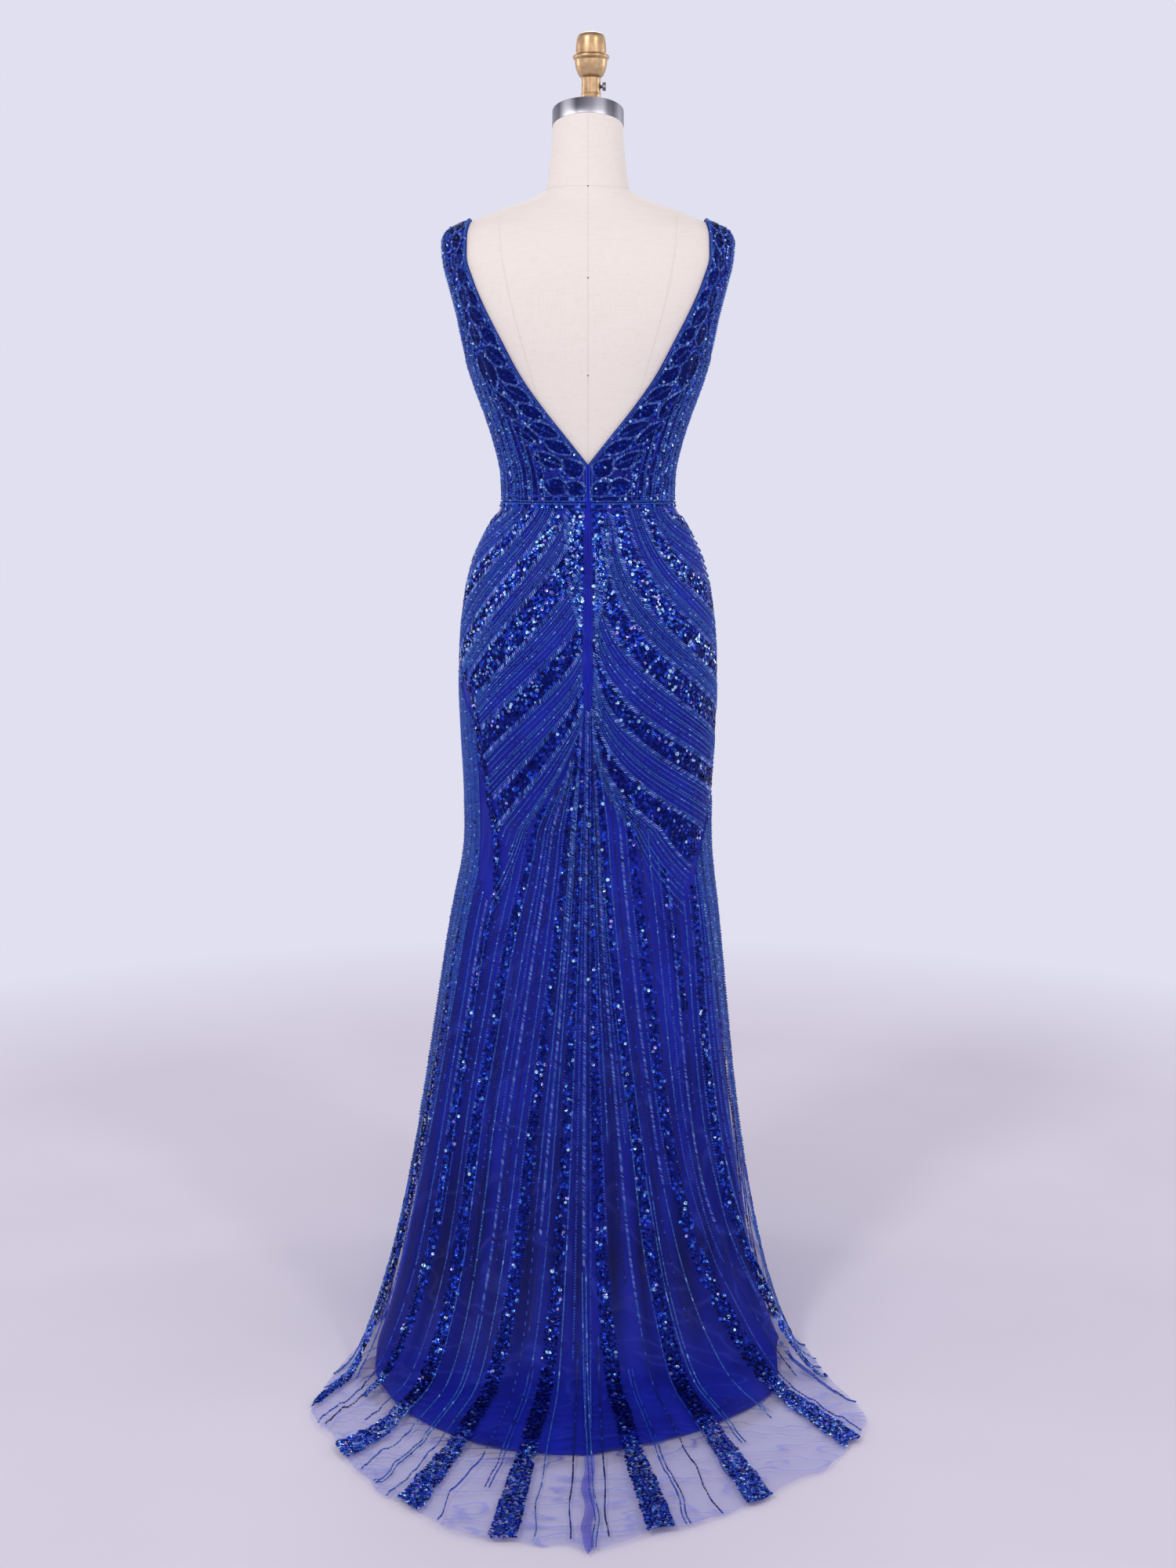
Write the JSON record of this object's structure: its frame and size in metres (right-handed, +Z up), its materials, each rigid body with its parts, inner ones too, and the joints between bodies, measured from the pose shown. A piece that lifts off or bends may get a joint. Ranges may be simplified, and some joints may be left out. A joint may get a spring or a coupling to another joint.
{
  "type": "evening gown on a limbless dress form",
  "caption": "Floor-length mermaid evening gown with a deep V back, wide straps and a sheer sweep train, in beaded tulle over plain lining, worn by a limbless linen dress form on a stand.",
  "frame": {"origin": "on the floor under the stand's pole, at the centre of the stand's round base", "axes": "+Z up along the pole; -Y to the gown's back, where its train runs out; +Y to its front; -X to the wearer's left"},
  "size_m": [0.6838, 1.0325, 1.727],
  "materials": {
    "beaded_tulle": "royal-blue sequins and beads on tulle",
    "blue_lining": "plain satin-faced lining",
    "zip_tape": "woven tape",
    "cream_linen": "plain linen over a padded shell",
    "steel": "brushed",
    "gold_paint": "dull gold paint",
    "black_enamel": "black enamel"
  },
  "bodies": {
    "gown_on_form": {"bodice_back_left": "beaded_tulle", "bodice_back_right": "beaded_tulle", "bodice_front_left": "beaded_tulle", "bodice_front_right": "beaded_tulle", "skirt_back_left": "beaded_tulle", "skirt_back_right": "beaded_tulle", "skirt_front": "beaded_tulle", "lining_back_left": "blue_lining", "lining_back_right": "blue_lining", "lining_front": "blue_lining", "zip_tape": "zip_tape", "form_torso": "cream_linen", "form_neck_cap": "steel", "form_finial": "gold_paint", "stand_pole": "steel", "stand_base": "black_enamel"},
    "thumb_screw": {"clamp_screw": "steel"}
  },
  "joints": [
    {"name": "clamp_screw_turn", "type": "hinge", "parent": "gown_on_form", "child": "thumb_screw", "pos_m": [0.004, 0, 1.658], "axis": [1, 0, 0], "continuous": true}
  ]
}
